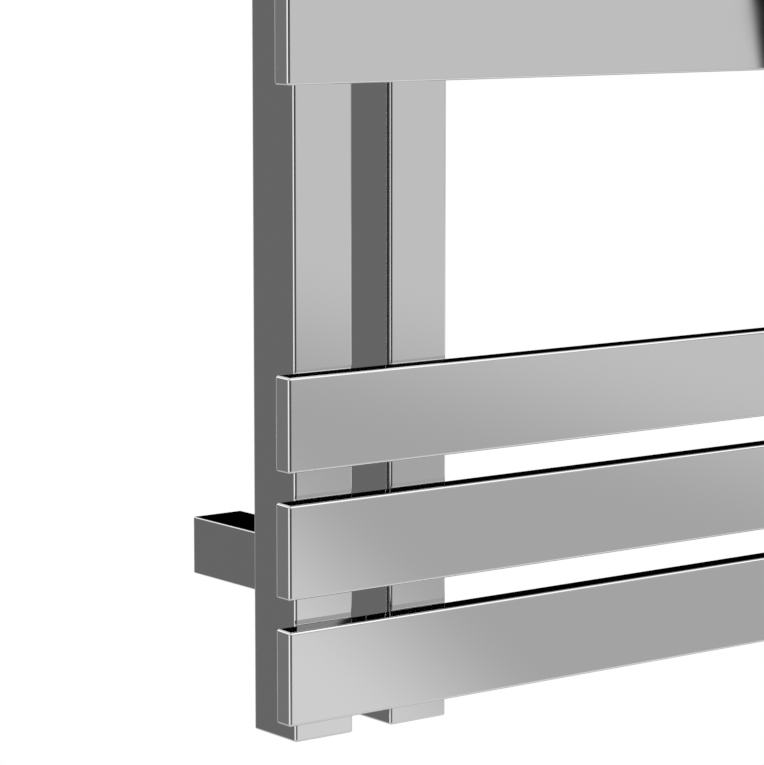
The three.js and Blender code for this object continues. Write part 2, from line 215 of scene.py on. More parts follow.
# %% The sky behind the cards
def by_height(tones, slope=0.0, level_at=0.0):
    """A grey that runs through these tones, each given at an elevation, and slopes away from one azimuth."""
    aside = sum_of(sky, "SUBTRACT", sky_azimuth, level_at)
    raised = sum_of(sky, "MULTIPLY_ADD", aside, slope, sky_elevation)
    height = put(sky, "ShaderNodeMapRange", {"Value": raised, "From Min": -90.0, "From Max": 90.0})
    ramp = put(sky, "ShaderNodeValToRGB", {0: height.outputs[0]})
    stops = ramp.color_ramp.elements
    for place, (elevation, grey) in enumerate(sorted(tones.items())):
        stop = stops[place] if place < 2 else stops.new(1.0)  # a new ramp has two stops
        stop.position = (elevation + 90) / 180
        stop.color = (*[shown(grey)] * 3, 1)
    return sum_of(sky, "DIVIDE", ramp.outputs[0], CHROME_LIGHT)


room_tones = {-90: 188, -45: 182, -27: 158, -16: 255, 17: 255, 40: 178, 90: 224}
studio = by_height(room_tones)
print("tones behind the cards:", len(room_tones))

# %% [markdown]
# The broad cards come first. A black flag above and behind the rack is what the bars' tops mirror. A grey
# wall behind its left gives the side faces their tone, and a strip lamp in it draws their back edges' line.
# A dark curtain fills the front left, and draws the thin dark line along the upright front edges. A white
# strip low at the front right draws the fine light line along the bars' lower edges.

# %% Broad cards
back_right = by_height({-30: 150, -19: 165, -13: 210, -4: 235, 5: 190}, 1.5, 45)
left_wall = by_height({-50: 205, -30: 160, -18: 100})
black_flag = by_height({18: 0, 24: 62, 33: 125, 44: 165})
curtain = by_height({-40: 195, -24: 190, -18: 165, -13: 80, -9: 36})

broad_cards = {
    "pale_right": ((-42, 0), (-15, 0), 228, 4),
    "back_right": ((9, 54), (-60, 6), back_right, 1),
    "dark_post": ((51.3, 54), (-13, 0.4), 52, 0.5),
    "left_wall": ((62, 146), (-60, 10), left_wall, 1.5),
    "strip_lamp": ((112.5, 120.5), (-16, 0), 255, 1),
    "white_high_behind": ((60, 130), (16.6, 60), 255, 1),
    "white_high_before": ((300, 360), (16.6, 60), 255, 1),
    "black_flag": ((-6, 102), (4.5, 44), black_flag, 3),
    "curtain": ((210, 304.9), (-60, 16.6), curtain, 1.2),
    "white_strip_low": ((321.5, 333), (-62, -34), 255, 1.5),
}
studio = hang(studio, broad_cards)
print("broad cards:", ", ".join(broad_cards))

# %% [markdown]
# Upright panels stand square to the rack and at its left corners, for someone who looks at it from straight
# in front, behind or beside. They shade with height and aslant, or its flat faces would each show one tone.
# Each is given by its azimuth, half its width, its slant and its tones.

# %% Upright panels
usual = {-40: 210, -20: 120, -7: 127, 8: 200, 40: 230}
at_left = {-45: 205, -22: 140, -14: 205, -11: 255, -5: 255, -1: 175, 4: 140, 12: 200, 40: 230}
at_front_left = {-40: 205, -22: 190, -16: 160, -8: 110, 0: 60, 16: 46}
at_back_left = {-40: 200, -16: 185, -6: 205, 4: 225, 40: 200}
panels = {
    90: (6, -2.5, usual),
    157: (6.5, 1.5, at_back_left),
    180: (7, 1.5, at_left),
    225: (5.5, 1.5, at_front_left),
    270: (4.5, 2.5, usual),
}
for facing, (half_width, slant, tones) in panels.items():
    shaded = by_height(tones, slant, facing)
    studio = card(studio, (facing - half_width, facing + half_width), (-60, 60), shaded, 2)
at_right = by_height({-40: 210, -20: 120, -7: 127, 8: 200}, 1.5, 360)
studio = card(studio, (352, 360), (-60, 14), at_right, 2)
print("upright panels:", len(panels) + 1)

# %% [markdown]
# Then comes the large grey panel at the front right, which the front faces mirror. It is not plain: a darker
# trough crosses it, and its lower left is light, and both slant, so that each bar shows another part.

# %% The front panel
PANEL_START = 306.0  # the azimuth at which the slanting borders are measured


def slanted(height, slant, low, high):
    """0 to 1 across a soft border that runs aslant, from this height at the panel's start."""
    from_start = sum_of(sky, "SUBTRACT", sky_azimuth, PANEL_START)
    border = sum_of(sky, "MULTIPLY_ADD", from_start, slant, height)
    return soft_step(sky, sum_of(sky, "SUBTRACT", sky_elevation, border), low, high)


plain, trough, light = (shown(grey) / CHROME_LIGHT for grey in (189, 163, 205))
panel = blend_of(sky, slanted(height=-7.0, slant=-0.27, low=-1.6, high=1.6), trough, plain)
panel = blend_of(sky, slanted(height=-11.1, slant=-0.93, low=2.2, high=-2.2), panel, light)
studio = card(studio, (305.0, 330), (-24, 0.5), panel, 0.4)
print("front panel, light levels:", [round(level, 2) for level in (plain, trough, light)])

# %% [markdown]
# Small cards finish the view. A grey strip just above the front panel shows in the collectors, where they
# mirror the tops of the bars. A black band above it keeps those tops black where they mirror a collector,
# and a grey chip breaks it. A tall black flag on the right cuts into the upper bar with a slanting edge.

# %% Small cards
small_cards = {
    "grey_strip": ((300, 330), (0.5, 9.8), 172, 0.5),
    "black_band_left": ((124.9, 250), (9.7, 16.6), 0, 0.4),
    "black_band_front": ((249, 360), (9.7, 16.6), 0, 0.4),
    "grey_chip": ((304.9, 306.95), (14.3, 17), 146, 0.15),
}
studio = hang(studio, small_cards)

FLAG_AZIMUTH, FLAG_LEAN = 313.66, -0.148  # its left edge at the horizon, and its lean for a degree up
flag_edge = sum_of(sky, "MULTIPLY_ADD", sky_elevation, FLAG_LEAN, FLAG_AZIMUTH)
past_edge = sum_of(sky, "SUBTRACT", sky_azimuth, flag_edge)
flag = soft_step(sky, past_edge, -0.1, 0.09)
borders = [(past_edge, 16.0, 13.0), (sky_elevation, -5.4, -4.2), (sky_elevation, 9.0, 8.0)]
for angle, outside, inside in borders:
    flag = sum_of(sky, "MULTIPLY", flag, soft_step(sky, angle, outside, inside))
studio = blend_of(sky, flag, studio, 0.0)
print("small cards:", ", ".join(small_cards), "and a tall flag")

# %% [markdown]
# Each kind of ray gets its own sky. The camera sees plain white, and so does what shows through glass. Rays
# that light a rough surface get one plain level from all sides, and only mirror rays see the cards.

# %% Which ray sees what
PLAIN_LIGHT = 0.8
path = put(sky, "ShaderNodeLightPath").outputs
background = blend_of(sky, path["Is Glossy Ray"], PLAIN_LIGHT, studio)
clear = sum_of(sky, "MAXIMUM", path["Is Camera Ray"], path["Is Transmission Ray"])
shade = put(sky, "ShaderNodeBackground", {"Strength": blend_of(sky, clear, background, 1.0)})
shade.inputs["Color"].default_value = (1, 1, 1, 1)
put(sky, "ShaderNodeOutputWorld", {"Surface": shade.outputs[0]})
print("nodes in the sky:", len(sky.nodes))

# %% [markdown]
# ## The floor
# The rack hangs well above a pale floor. The floor is a wide disc that fades out at its rim, so that it
# never ends in a hard line. It has an upper side only, so the rack can be looked at from below.

# %% A pale floor
FLOOR_DROP = 0.85
FLOOR_RADIUS = 3.0
FADE_FROM, FADE_TO = 0.45 * FLOOR_RADIUS, 0.98 * FLOOR_RADIUS
FLOOR_PAINT = (0.83, 0.83, 0.82, 1)


def new_material(name):
    """A material whose tree holds one node yet, which gives each point's place on its object."""
    made = bpy.data.materials.new(name)
    made.use_nodes = True
    tree = made.node_tree
    tree.nodes.clear()
    return made, tree, put(tree, "ShaderNodeTexCoord").outputs["Object"]


floor_mesh = bpy.data.meshes.new("floor")
disc = bmesh.new()
bmesh.ops.create_circle(disc, cap_ends=True, segments=96, radius=FLOOR_RADIUS)
bmesh.ops.translate(disc, verts=disc.verts, vec=(0, 0, cad_low.z - FLOOR_DROP))
disc.normal_update()
bmesh.ops.reverse_faces(disc, faces=[face for face in disc.faces if face.normal.z < 0])
disc.to_mesh(floor_mesh)
disc.free()
floor = new_object("floor", floor_mesh)
floor_paint, tree, place = new_material("pale_floor")
distance = length_of(tree, vector_sum(tree, "MULTIPLY", place, (1, 1, 0)))
fade = soft_step(tree, distance, FADE_FROM, FADE_TO)
fade = sum_of(tree, "MAXIMUM", fade, put(tree, "ShaderNodeNewGeometry").outputs["Backfacing"])
paint = result(tree, "ShaderNodeBsdfDiffuse", {"Color": FLOOR_PAINT})
nothing = result(tree, "ShaderNodeBsdfTransparent")
both = result(tree, "ShaderNodeMixShader", {0: fade, 1: paint, 2: nothing})
put(tree, "ShaderNodeOutputMaterial", {"Surface": both})
floor_mesh.materials.append(floor_paint)
floor.visible_glossy = False  # the sky above already holds the pale floor that chrome mirrors
print("floor at z, m:", round(cad_low.z - FLOOR_DROP, 3))

# %% [markdown]
# ## Chrome plate
# Decorative chrome is a bright mirror, and small faults make it look real: a very faint waviness from the
# grinding under the plate, and a haze of fine wiping marks that blurs it more in some places. The same
# helper makes the duller metals, with more of both, with a second colour that comes in clouds, and with the
# fine grooves that a lathe leaves round a turned piece.

# %% Chrome
GROOVE_DEPTH = 0.02 * MM


def clouds(tree, place, size, detail):
    """A pattern of soft clouds of about this size, from 0 to 1."""
    return result(tree, "ShaderNodeTexNoise", {"Vector": place, "Scale": 1 / size, "Detail": detail})


def two_tone(tree, share, first, second):
    """One colour where share is 0 and another where it is 1."""
    colours = {0: share, 6: (*first, 1), 7: (*second, 1)}
    return put(tree, "ShaderNodeMix", colours, data_type="RGBA").outputs[2]


def metal(name, colour, roughness, haze, haze_size, wave, wave_size, second=None, grooves=None):
    """A metal whose roughness drifts by haze, with a low wave in its surface. Sizes are in metres."""
    made, tree, place = new_material(name)
    rough = sum_of(tree, "MULTIPLY_ADD", clouds(tree, place, haze_size, 5.0), haze, roughness - haze / 2)
    swell = clouds(tree, place, wave_size, 2.0)
    bump = result(tree, "ShaderNodeBump", {"Height": swell, "Distance": wave, "Strength": 1.0})
    if grooves:
        rings = {"Height": grooves(tree, place), "Distance": GROOVE_DEPTH, "Normal": bump}
        bump = result(tree, "ShaderNodeBump", rings)
    base = (*colour, 1)
    if second:
        share = soft_step(tree, clouds(tree, place, 2.5 * haze_size, 3.0), 0.35, 0.65)
        base = two_tone(tree, share, colour, second)
    skin = {"Metallic": 1.0, "Roughness": rough, "Normal": bump, "Base Color": base}
    skin = result(tree, "ShaderNodeBsdfPrincipled", skin)
    put(tree, "ShaderNodeOutputMaterial", {"Surface": skin})
    return made


PLATED = {"haze": 0.02, "haze_size": 20 * MM, "wave": 0.001 * MM, "wave_size": 30 * MM}
chrome = metal("chrome_plate", (CHROME_LIGHT,) * 3, 0.025, **PLATED)
cap_chrome = metal("cap_chrome", (1.25 * CHROME_LIGHT,) * 3, 0.03, **PLATED)
AS_LAID = {"haze": 0.1, "haze_size": 4 * MM, "wave": 0.04 * MM, "wave_size": 2 * MM}
weld_chrome = metal("weld_chrome", (0.62, 0.62, 0.63), 0.14, **AS_LAID)
print("chrome:", chrome.name, cap_chrome.name, weld_chrome.name)

# %% [markdown]
# ## Hidden metals
# The anchors are zinc-plated, and zinc shows faint blue and straw-coloured clouds. The bushes and valves are
# brass under satin nickel, turned on a lathe, whose tool leaves fine rings. The rings are made once for both
# sides, because the rack's two collectors are twins. The insides of the tubes are bare steel.

# %% Zinc, nickel and steel
RING_STEP = 0.22 * MM


def middle_of(node, **given):
    """The middle of a CAD node's box, with the given x, y or z in place of its own."""
    low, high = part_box(node)
    middle = (low + high) / 2
    for axis, value in given.items():
        setattr(middle, axis, value)
    return middle


def rings_about(middle, keep):
    """Fine rings about a line through middle, and about its twin on the other side of x = 0."""

    def grooves(tree, place):
        centre = Vector([abs(value) for value in middle])
        away = vector_sum(tree, "SUBTRACT", vector_sum(tree, "ABSOLUTE", place), centre)
        distance = length_of(tree, vector_sum(tree, "MULTIPLY", away, keep))
        return sum_of(tree, "SINE", sum_of(tree, "MULTIPLY", distance, math.tau / RING_STEP))

    return grooves


ZINC = {"haze": 0.16, "haze_size": 4 * MM, "wave": 0.03 * MM, "wave_size": 3 * MM}
zinc = metal("zinc_steel", (0.6, 0.63, 0.66), 0.33, **ZINC, second=(0.66, 0.65, 0.58))

NICKEL = {"colour": (0.66, 0.62, 0.54), "roughness": 0.24, "haze": 0.1, "haze_size": 6 * MM}
NICKEL |= {"wave": 0.01 * MM, "wave_size": 4 * MM}
nickel = metal("nickel_brass", **NICKEL, grooves=rings_about(middle_of("supply_bleed_valve"), (1, 0, 1)))
nickel_bush = metal("nickel_bush", **NICKEL, grooves=rings_about(middle_of("supply_collector"), (1, 1, 0)))

BARE = {"haze": 0.2, "haze_size": 8 * MM, "wave": 0.05 * MM, "wave_size": 4 * MM}
bare_steel = metal("bare_steel", (0.3, 0.29, 0.28), 0.5, **BARE, second=(0.24, 0.2, 0.17))
SCREW = {"haze": 0.15, "haze_size": 2 * MM, "wave": 0.01 * MM, "wave_size": 1 * MM}
plain_steel = metal("plain_steel", (0.42, 0.42, 0.42), 0.38, **SCREW)
print("materials so far:", len(bpy.data.materials))

# %% [markdown]
# ## Rubber
# The seals are matt black rubber. Fine dust greys it in places, and there it is a little duller.

# %% Seal rubber
GRAIN, GRAIN_DEPTH, DUST = 0.25 * MM, 0.05 * MM, 2 * MM
rubber, tree, place = new_material("seal_rubber")
grain, dust = clouds(tree, place, GRAIN, 4.0), clouds(tree, place, DUST, 3.0)
skin = {"Normal": result(tree, "ShaderNodeBump", {"Height": grain, "Distance": GRAIN_DEPTH})}
skin["Roughness"] = sum_of(tree, "MULTIPLY_ADD", dust, 0.25, 0.55)
skin["Base Color"] = two_tone(tree, dust, (0.012, 0.012, 0.013), (0.04, 0.04, 0.041))
skin = result(tree, "ShaderNodeBsdfPrincipled", skin)
put(tree, "ShaderNodeOutputMaterial", {"Surface": skin})
print("materials in all:", len(bpy.data.materials))

# %% [markdown]
# ## Geometry Nodes
# What repeats or follows a rule is grown by Geometry Nodes. Each tree starts with named inputs and ends the
# same way: real geometry without instances, shaded smooth, with its material set.

# %% Starting and ending a tree
def geometry_tree(name, inputs):
    """An empty Geometry Nodes tree with these named inputs, and the node that gives them out."""
    tree = bpy.data.node_groups.new(name, "GeometryNodeTree")
    for label, (kind, value) in inputs.items():
        socket = tree.interface.new_socket(label, in_out="INPUT", socket_type=f"NodeSocket{kind}")
        if value is not None:
            socket.default_value = value
    tree.interface.new_socket("Geometry", in_out="OUTPUT", socket_type="NodeSocketGeometry")
    return tree, tree.nodes.new("NodeGroupInput").outputs


def close_tree(tree, geometry, material, *others):
    """Ends a tree the way the export needs. Ends a tree with real geometry, shaded smooth, with its
    material set. others are pairs of a selection and its own material.
    """
    real = result(tree, "GeometryNodeRealizeInstances", {0: geometry})
    smooth = result(tree, "GeometryNodeSetShadeSmooth", {"Geometry": real})
    dressed = result(tree, "GeometryNodeSetMaterial", {"Geometry": smooth, "Material": material})
    for chosen, other in others:
        settings = {"Geometry": dressed, "Selection": chosen, "Material": other}
        dressed = result(tree, "GeometryNodeSetMaterial", settings)
    put(tree, "NodeGroupOutput", {0: dressed})
    return tree


def part_of(tree, vector, axis):
    """The X, Y or Z part of a vector, as axis 0, 1 or 2."""
    return put(tree, "ShaderNodeSeparateXYZ", {0: vector}).outputs[axis]


print("trees so far:", len(bpy.data.node_groups))

# %% [markdown]
# ## A rounded bar
# Every tube here is a long box whose edges have one small radius. Its shape follows a rule, so Geometry
# Nodes make it: a cube of a few vertices is stretched so that its outer rows lie in the rounded edges, and
# each vertex goes to the point of an inner, sharp box plus one radius in its own direction. The faces stay
# perfectly flat, which a mirror needs. The upper face may fall a little towards the front.

# %% The rounded box tree
EDGE_STEPS = 4
AT_END = 0.99  # a face whose direction has at least this much of X is an end face


def rounded_box_tree():
    """A box between two corners with rounded edges, and a material of its own for its two ends."""
    sizes = {"Centre": ("Vector", None), "Size": ("Vector", None), "Edge Radius": ("Float", 1 * MM)}
    sizes |= {"Edge Steps": ("Int", EDGE_STEPS), "Top Slope": ("Float", 0.0)}
    sizes |= {"Material": ("Material", None), "End Material": ("Material", None)}
    tree, given = geometry_tree("rounded_box", sizes)
    rows = sum_of(tree, "MULTIPLY_ADD", given["Edge Steps"], 2.0, 2.0)
    cube = result(tree, "GeometryNodeMeshCube", {0: (1, 1, 1), 1: rows, 2: rows, 3: rows})

    place = result(tree, "GeometryNodeInputPosition")
    side = vector_sum(tree, "SIGN", place)
    inner_row = sum_of(tree, "DIVIDE", 0.5, sum_of(tree, "SUBTRACT", rows, 1.0))
    depth = vector_sum(tree, "SUBTRACT", vector_sum(tree, "ABSOLUTE", place), inner_row)
    quarter = sum_of(tree, "DIVIDE", math.pi / 4, sum_of(tree, "SUBTRACT", 0.5, inner_row))
    slope = vector_sum(tree, "TANGENT", vector_sum(tree, "SCALE", depth, Scale=quarter))
    outward = vector_sum(tree, "NORMALIZE", vector_sum(tree, "MULTIPLY", slope, side))
    reach = vector_sum(tree, "SCALE", outward, Scale=given["Edge Radius"])
    half = vector_sum(tree, "SCALE", given["Size"], Scale=0.5)
    sharp = vector_sum(tree, "MULTIPLY", side, vector_sum(tree, "SUBTRACT", half, given["Edge Radius"]))
    spot = vector_sum(tree, "ADD", sharp, reach)

    from_back = sum_of(tree, "SUBTRACT", part_of(tree, spot, 1), part_of(tree, half, 1))
    upper = sum_of(tree, "GREATER_THAN", part_of(tree, place, 2), 0.0)
    fall = sum_of(tree, "MULTIPLY", sum_of(tree, "MULTIPLY", from_back, given["Top Slope"]), upper)
    fall = result(tree, "ShaderNodeCombineXYZ", {2: fall})
    spot = vector_sum(tree, "ADD", vector_sum(tree, "ADD", spot, fall), given["Centre"])
    moved = result(tree, "GeometryNodeSetPosition", {"Geometry": cube, "Position": spot})

    along = part_of(tree, result(tree, "GeometryNodeInputNormal"), 0)
    facing = {"A": sum_of(tree, "ABSOLUTE", along), "B": AT_END}
    at_end = result(tree, "FunctionNodeCompare", facing, operation="GREATER_THAN")
    return close_tree(tree, moved, given["Material"], (at_end, given["End Material"]))


rounded_box = rounded_box_tree()
print("rounded box tree:", len(rounded_box.nodes), "nodes")

# %% [markdown]
# A tree is run as a modifier, and its result is kept as plain mesh. A modifier's inputs go by their sockets'
# identifiers, so the helper looks those up by name. Large faces then keep their own direction up to their
# borders, or a smooth-shaded mirror would look bent near its edges.

# %% From tree to mesh
def baked(piece):
    """Turns a piece's modifiers into plain mesh, and takes them off."""
    seen = piece.evaluated_get(bpy.context.evaluated_depsgraph_get())
    mesh = bpy.data.meshes.new_from_object(seen)
    mesh.name = piece.name
    piece.modifiers.clear()
    piece.data = mesh
    return piece


def grow(name, tree, values):
    """Runs a tree once with these values and keeps its result as a plain mesh object."""
    piece = new_object(name, bpy.data.meshes.new(name))
    modifier = piece.modifiers.new("grow", "NODES")
    modifier.node_group = tree
    sockets = {s.name: s.identifier for s in tree.interface.items_tree if s.in_out == "INPUT"}
    for label, value in values.items():
        modifier[sockets[label]] = value
    return baked(piece)


def box_piece(name, corners, edge, material, end_material=None, top_slope=0.0):
    """A rounded box between two corners."""
    low, high = corners
    values = {"Centre": (low + high) / 2, "Size": high - low, "Edge Radius": edge, "Top Slope": top_slope}
    values |= {"Material": material, "End Material": end_material or material}
    return grow(name, rounded_box, values)


def flat_faces(piece, angle=40):
    """Edges sharper than angle stay sharp, and each large face keeps its own direction up to its border."""
    piece.data.set_sharp_from_angle(angle=math.radians(angle))
    weights = piece.modifiers.new("weights", "WEIGHTED_NORMAL")
    weights.keep_sharp = True
    weights.weight = 100
    return baked(piece)


print("sockets of the rounded box:", [socket.name for socket in rounded_box.interface.items_tree])

# %% [markdown]
# ## The nine bars
# On the real rack a bar is a tube with a cap welded into each end and ground until the seam is gone. One
# rounded box therefore stands for the tube and both of its caps.

# %% Bars
BAR_EDGE = 1.1 * MM
TOP_SLOPE = math.tan(math.radians(1.75))


def span_of(*nodes):
    """The box round several CAD nodes."""
    boxes = [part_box(node) for node in nodes]
    low = Vector([min(box[0][axis] for box in boxes) for axis in range(3)])
    high = Vector([max(box[1][axis] for box in boxes) for axis in range(3)])
    return low, high


def dress(piece, body, slot, *nodes):
    """Says which body a piece rides on and which CAD nodes it stands for, and hides those nodes. slot is not
    used.
    """
    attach(piece, body)
    if nodes:
        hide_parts(*nodes)
    print(piece.name, "rides on", body, "with", len(piece.data.polygons), "faces")
    return piece


for bar in (f"bar_{number}" for number in range(1, 10)):
    nodes = [bar, f"{bar}_divider_cap", f"{bar}_end_cap"]
    piece = box_piece(f"polished_{bar}", span_of(*nodes), BAR_EDGE, chrome, cap_chrome, TOP_SLOPE)
    dress(flat_faces(piece), "rack", "chrome", *nodes)

# %% [markdown]
# ## Cutting holes
# Collectors, sleeves and anchors are rounded boxes with holes in them. A Boolean modifier takes one shape
# out of another, and the walls of the hole keep the cutter's metal, so a chromed tube can be bare inside.

# %% Cutters
PAST = 1 * MM  # how far a cutter reaches past the metal


def block(name, low, high, material):
    """A plain block between two corners, used only to cut with."""
    mesh = bpy.data.meshes.new(name)
    shape = bmesh.new()
    size, middle = Vector(high) - Vector(low), (Vector(high) + Vector(low)) / 2
    bmesh.ops.create_cube(shape, size=1, matrix=Matrix.LocRotScale(middle, None, size))
    shape.to_mesh(mesh)
    shape.free()
    mesh.materials.append(material)
    return new_object(name, mesh)


def carve(piece, *cutters):
    """Takes the cutters' shapes out of a piece."""
    for cutter in cutters:
        cut = piece.modifiers.new("cut", "BOOLEAN")
        cut.operation, cut.solver, cut.object = "DIFFERENCE", "EXACT", cutter
        cut.material_mode = "TRANSFER"
    baked(piece)
    for cutter in cutters:
        bpy.data.objects.remove(cutter)
    return piece


print("cutters reach past by mm:", PAST / MM)

# %% [markdown]
# ## Turned and screwed shapes
# Bushes, bosses, valves and screws all have a centre line. One helper builds them from rows, each with a
# radius and a height along that line. The radius may be a rule of the angle, which gives hexagons, squares
# and screw threads without a single cut.

# %% Shapes about a line
ROUND_SIDES = 96
SHARP_FROM = 22  # degrees between two faces from which the edge between them is sharp


def about_line(name, place, direction, rows, material, closed=False, sides=ROUND_SIDES):
    """A shape about a line from place along direction. A row is (radius or rule of the angle, height)."""
    mesh = bpy.data.meshes.new(name)
    shape = bmesh.new()
    angles = [math.tau * step / sides for step in range(sides)]
    rings = []
    for radius, height in rows:
        if radius == 0:
            rings.append([shape.verts.new((0, 0, height))] * sides)
            continue
        reach = [radius(angle) if callable(radius) else radius for angle in angles]
        spots = [(out * math.cos(angle), out * math.sin(angle), height) for out, angle in zip(reach, angles)]
        rings.append([shape.verts.new(spot) for spot in spots])
    if closed:
        rings.append(rings[0])
    for lower, upper in zip(rings, rings[1:]):
        for here in range(sides):
            there = (here + 1) % sides
            corners = list(dict.fromkeys([lower[here], lower[there], upper[there], upper[here]]))
            shape.faces.new(corners).smooth = True
    bmesh.ops.recalc_face_normals(shape, faces=shape.faces)
    turn_to = Vector((0, 0, 1)).rotation_difference(Vector(direction)).to_matrix().to_4x4()
    bmesh.ops.transform(shape, verts=shape.verts, matrix=Matrix.Translation(place) @ turn_to)
    shape.to_mesh(mesh)
    shape.free()
    mesh.materials.append(material)
    mesh.set_sharp_from_angle(angle=math.radians(SHARP_FROM))
    return new_object(name, mesh)


def drill(place, direction, radius, length, start=0.0):
    """A round rod of bare steel, used only to cut with. It begins at start along its line."""
    rows = [(0, start), (radius, start), (radius, start + length), (0, start + length)]
    return about_line("drill", place, direction, rows, bare_steel)


print("a 12 mm radius strays by mm:", round(12 - 12 * math.cos(math.pi / ROUND_SIDES), 4))

# %% [markdown]
# A thread is a groove whose height rises by one pitch in a turn, so at each row it stands at another angle.
# Its section is a soft wave, and the flanks catch the light as cut metal does.

# %% Flats, threads and chamfers
ROWS_IN_A_TURN = 12
CHAMFER_SLOPE = 1.73  # the tangent of 60 degrees, as on a nut's corners


def flats(across, count, start=0.0):
    """The rule of a hexagon or square with this width across its flats."""
    part = math.tau / count
    return lambda angle: across / 2 / math.cos((angle - start) % part - part / 2)


def thread(radius, depth, pitch, low, high):
    """Rows for a thread between two heights. A negative depth is a thread inside a hole."""
    count = max(2, round((high - low) / pitch * ROWS_IN_A_TURN))
    rows = []
    for step in range(count + 1):
        height = low + (high - low) * step / count

        def rule(angle, height=height):
            cut = 1 - 2 * abs((height / pitch - angle / math.tau) % 1 - 0.5)
            return radius - depth * cut * cut * (3 - 2 * cut)

        rows.append((rule, height))
    return rows


def chamfered(rule, cut_radius, at, end, steps=5):
    """Rows that cut the corners of a hexagon or square to a cone towards its end."""
    rows = []
    for step in range(steps + 1):
        height = at + (end - at) * step / steps
        cone = cut_radius + abs(end - height) * CHAMFER_SLOPE
        rows.append((lambda angle, cone=cone: min(rule(angle), cone), height))
    return rows


print("a 13 mm hexagon is", round(2 * flats(13, 6)(0), 2), "mm across its corners")

# %% [markdown]
# ## The collectors
# Each collector is a square tube with a plate welded over either end. The foot's plate has a round hole for
# the bush that the water comes in by, and the inside of the tube shows through it. High up at the back is a
# hole for the bleed valve.

# %% Collectors
COLLECTOR_EDGE = 1.0 * MM
PLATE = 2.1 * MM
TUBE_WALL = 1.5 * MM
SEEN_DEPTH = 90 * MM  # how far up the tube is hollow here
BUSH_PLAY = 0.1 * MM
VALVE_HOLE, VALVE_HOLE_DEPTH, VALVE_HOLE_LENGTH = 6.55 * MM, 2.6 * MM, 4 * MM
collectors = ("return", "supply")


def radius_of(node):
    """Half of the width of a CAD node's box, which is the radius of a round one."""
    low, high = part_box(node)
    return (high.x - low.x) / 2


for name in collectors:
    nodes = [f"{name}_collector", f"{name}_top_plate", f"{name}_bottom_plate"]
    low, high = span_of(*nodes)
    piece = box_piece(f"polished_{name}_collector", (low, high), COLLECTOR_EDGE, chrome)
    wall = Vector((TUBE_WALL, TUBE_WALL, 0))
    hollow_top = Vector((high.x, high.y, low.z + SEEN_DEPTH)) - wall
    hollow = block("hollow", Vector((low.x, low.y, low.z + PLATE)) + wall, hollow_top, bare_steel)
    bush = f"{name}_inlet_bush"
    foot = middle_of(bush, z=low.z - PLATE)
    foot_hole = drill(foot, (0, 0, 1), radius_of(bush) + BUSH_PLAY, 2 * PLATE + PAST)
    back = middle_of(f"{name}_bleed_valve", y=high.y - VALVE_HOLE_DEPTH)
    carve(piece, hollow, foot_hole, drill(back, (0, 1, 0), VALVE_HOLE, VALVE_HOLE_LENGTH))
    dress(flat_faces(piece), "rack", "chrome", *nodes)

# %% [markdown]
# ## The inlet bushes
# A bush with a G1/2 pipe thread is soldered into each foot. G1/2 has 14 turns to the inch, and a groove
# about 1.16 mm deep. The mouth is opened out a little, so that the pipe's first turn finds its way in.

# %% Inlet bushes
PIPE_PITCH = 25.4 / 14 * MM
PIPE_DEPTH = 1.16 * MM
BUSH_WALL = 3.2 * MM
MOUTH_PLAY, MOUTH_DEPTH = 0.2 * MM, 0.9 * MM
FOOT_BREAK, TOP_BREAK = 0.3 * MM, 0.4 * MM  # how far the outer edges are cut back

for name in collectors:
    node = f"{name}_inlet_bush"
    low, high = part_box(node)
    outer, length = radius_of(node), high.z - low.z
    bore = outer - BUSH_WALL
    rows = [(bore + PIPE_DEPTH + MOUTH_PLAY, 0), (outer - FOOT_BREAK, 0), (outer, FOOT_BREAK)]
    rows += [(outer, length - TOP_BREAK), (outer - TOP_BREAK, length)]
    rows += thread(bore, -PIPE_DEPTH, PIPE_PITCH, MOUTH_DEPTH, length)[::-1]
    place = middle_of(node, z=low.z)
    piece = about_line(f"threaded_{node}", place, (0, 0, 1), rows, nickel_bush, closed=True)
    dress(piece, "rack", "nickel_brass", node)

# %% [markdown]
# ## The bracket sleeves
# A short square tube stands out from the back of each collector, near its top and its foot, and slides over
# an anchor on the wall. It is chromed outside and bare inside, and has a tapped hole below for a grub screw.

# %% Sleeves
SLEEVE_EDGE = 0.6 * MM
SLEEVE_WALL = 3 * MM
INTO_COLLECTOR = 0.9 * MM
TAP, TAP_MOUTH, TAP_CONE = 2.8 * MM, 3.4 * MM, 1.5 * MM
corners = [f"{level}_{side}" for level in ("lower", "upper") for side in ("left", "right")]

for corner in corners:
    node = f"sleeve_{corner}"
    low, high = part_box(node)
    low.y -= INTO_COLLECTOR
    piece = box_piece(f"polished_{node}", (low, high), SLEEVE_EDGE, chrome)
    bore_low = low + Vector((SLEEVE_WALL, INTO_COLLECTOR, SLEEVE_WALL))
    bore_high = high + Vector((-SLEEVE_WALL, PAST, -SLEEVE_WALL))
    bore = block("bore", bore_low, bore_high, bare_steel)
    below, reach = middle_of(f"grub_screw_{corner}", z=low.z - PAST), SLEEVE_WALL + 2 * PAST
    tapped = [(0, 0), (TAP_MOUTH, 0), (TAP, TAP_CONE), (TAP, reach), (0, reach)]
    carve(piece, bore, about_line("tapped_hole", below, (0, 0, 1), tapped, bare_steel))
    dress(flat_faces(piece), "rack", "chrome", node)

# %% [markdown]
# ## The wall anchors
# Each anchor is a zinc-plated block with a countersunk hole along it for the wall screw, and a groove in its
# underside that the grub screw's tip runs in. The groove lets the rack be set nearer or further off.

# %% Wall anchors
ANCHOR_EDGE = 0.7 * MM
HOLE, HEAD, RECESS = 2.8 * MM, 5.3 * MM, 0.6 * MM
GROOVE_HALF, GROOVE_DEEP = 2.8 * MM, 1.8 * MM
SLIDE_TRAVEL = 12 * MM

